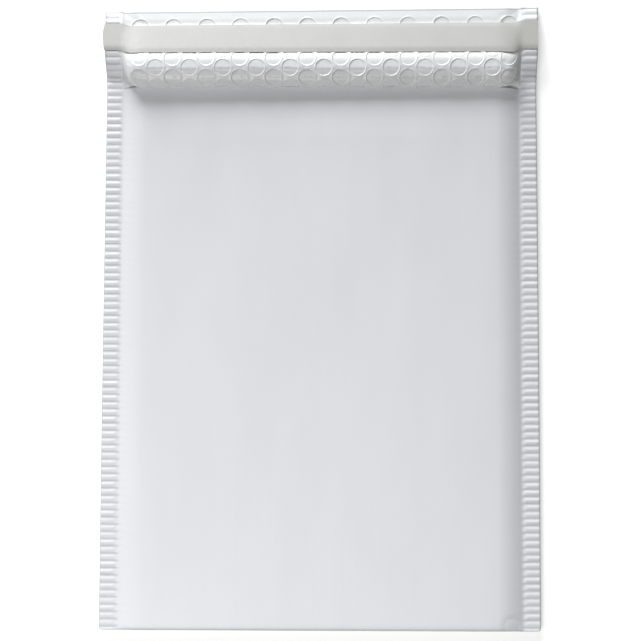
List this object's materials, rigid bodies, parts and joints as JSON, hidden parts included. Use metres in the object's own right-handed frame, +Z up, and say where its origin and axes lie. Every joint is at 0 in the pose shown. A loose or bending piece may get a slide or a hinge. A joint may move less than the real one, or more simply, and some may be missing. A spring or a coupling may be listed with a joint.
{
  "type": "padded envelope",
  "caption": "White bubble-lined film mailer lying flat, with ribbed heat-sealed sides, an open rolled flap and a release liner over its adhesive.",
  "frame": {"origin": "on the surface it lies on, under the middle of its footprint", "axes": "+Y from the bottom fold to the flap's tip, +X across to the right as the front panel is read, +Z up out of the front panel"},
  "size_m": [0.2508, 0.3572, 0.0184],
  "materials": {
    "white_film": "satin pearl polyethylene film",
    "bubble_film": "milky bubble film with a soft gloss",
    "adhesive": "pale hot-melt adhesive",
    "release_film": "warm grey siliconised release film, nearly matt"
  },
  "bodies": {
    "root": {"outer_film": "white_film", "bubble_lining": "bubble_film", "adhesive_strip": "adhesive", "release_liner": "release_film"}
  },
  "joints": []
}
